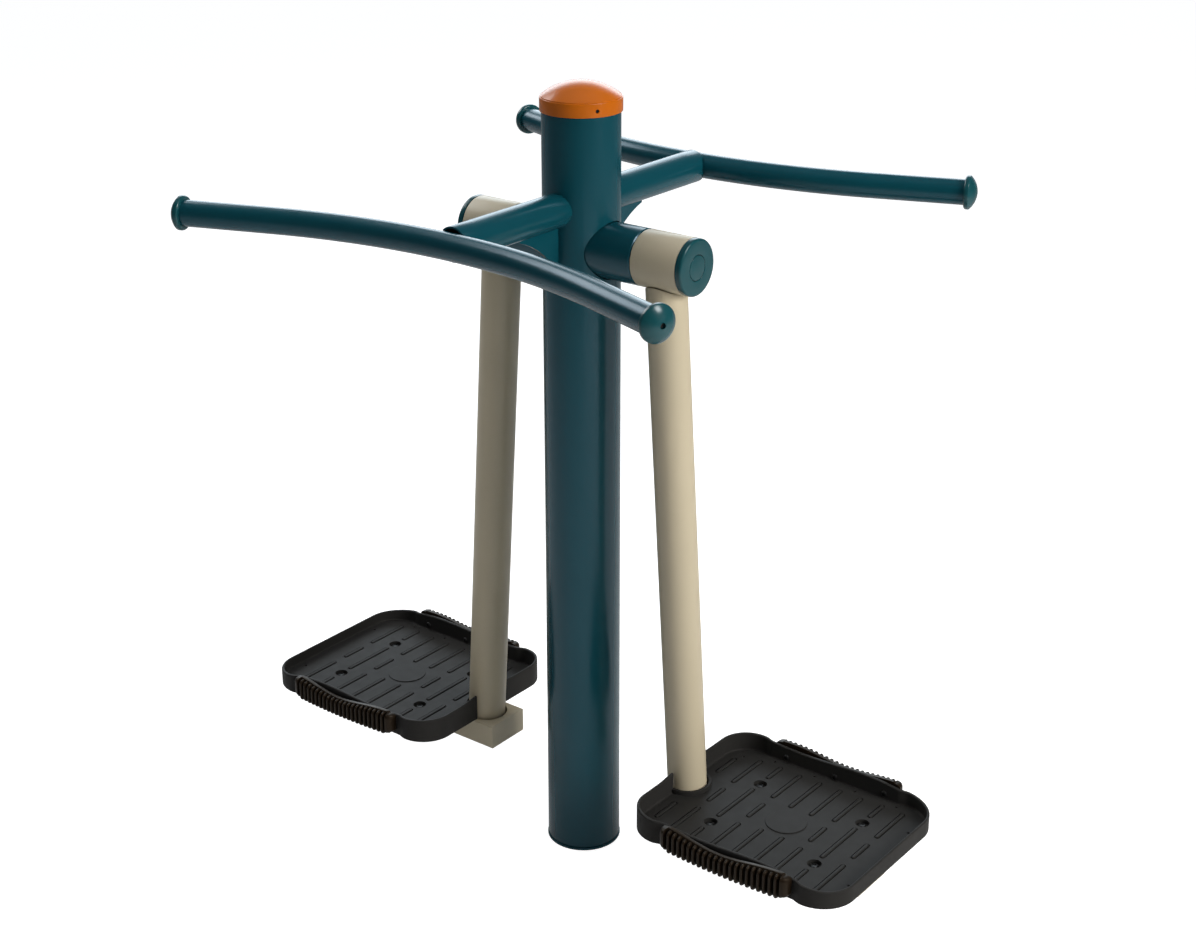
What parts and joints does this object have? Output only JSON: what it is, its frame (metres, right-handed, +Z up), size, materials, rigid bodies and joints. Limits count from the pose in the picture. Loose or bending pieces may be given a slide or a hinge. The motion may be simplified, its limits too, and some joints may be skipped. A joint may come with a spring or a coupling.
{
  "type": "side swing trainer",
  "caption": "Outdoor side swing trainer: a post with bent handlebars and foot trays on long arms, each arm swinging sideways on ball bearings at the hub.",
  "frame": {"origin": "on the ground, at the middle of the base disc's underside", "axes": "+Z up along the post; +X along the swing axle, through both hubs; +Y along the crossarm, from one handlebar to the other"},
  "size_m": [1.1124, 0.8208, 1.223],
  "materials": {
    "teal_paint": "glossy dark teal powder coat",
    "teal_cap": "glossy dark teal moulded cap",
    "beige_paint": "glossy beige powder coat",
    "orange_paint": "glossy orange moulded cap",
    "black_plastic": "satin black moulded plastic",
    "black_rubber": "matt dark brown-black rubber",
    "bearing_steel": "plain zinc-plated steel",
    "black_steel": "black coated steel screws, bolts and nuts"
  },
  "bodies": {
    "frame": {"post": "teal_paint", "base_disc": "teal_paint", "post_cap": "orange_paint", "cap_screws": "black_steel", "crossarm_front": "teal_paint", "crossarm_back": "teal_paint", "gussets": "teal_paint", "handlebar_front": "teal_paint", "handlebar_back": "teal_paint", "handle_cap_front_left": "teal_cap", "handle_cap_front_right": "teal_cap", "handle_cap_back_left": "teal_cap", "handle_cap_back_right": "teal_cap", "handle_cap_screws": "black_steel", "hub_tube": "teal_paint", "hub_disc_left": "bearing_steel", "hub_disc_right": "bearing_steel", "axle": "bearing_steel", "stop_pins": "bearing_steel", "bearing_inner_rings": "bearing_steel", "bearing_spacers": "bearing_steel", "axle_collars": "bearing_steel", "hub_cap_left": "teal_paint", "hub_cap_right": "teal_paint", "hub_cap_screws": "bearing_steel", "hub_plug_left": "teal_paint", "hub_plug_right": "teal_paint"},
    "left_swing": {"housing_left": "beige_paint", "stop_ring_left": "bearing_steel", "bearing_outer_rings_left": "bearing_steel", "bearing_balls_left": "bearing_steel", "arm_left": "beige_paint", "support_bar_left": "beige_paint", "bar_end_plates_left": "beige_paint", "tray_lugs_left": "beige_paint", "tray_left": "black_plastic", "tray_bolts_left": "black_steel", "tray_nuts_left": "black_steel", "bumper_front_left": "black_rubber", "bumper_back_left": "black_rubber", "bumper_bolts_left": "black_steel"},
    "right_swing": {"housing_right": "beige_paint", "stop_ring_right": "bearing_steel", "bearing_outer_rings_right": "bearing_steel", "bearing_balls_right": "bearing_steel", "arm_right": "beige_paint", "support_bar_right": "beige_paint", "bar_end_plates_right": "beige_paint", "tray_lugs_right": "beige_paint", "tray_right": "black_plastic", "tray_bolts_right": "black_steel", "tray_nuts_right": "black_steel", "bumper_front_right": "black_rubber", "bumper_back_right": "black_rubber", "bumper_bolts_right": "black_steel"}
  },
  "joints": [
    {"name": "left_swing_hinge", "type": "hinge", "parent": "frame", "child": "left_swing", "pos_m": [-0.155, 0, 0.985], "axis": [1, 0, 0], "range_deg": [-35, 35]},
    {"name": "right_swing_hinge", "type": "hinge", "parent": "frame", "child": "right_swing", "pos_m": [0.155, 0, 0.985], "axis": [1, 0, 0], "range_deg": [-35, 35]}
  ]
}
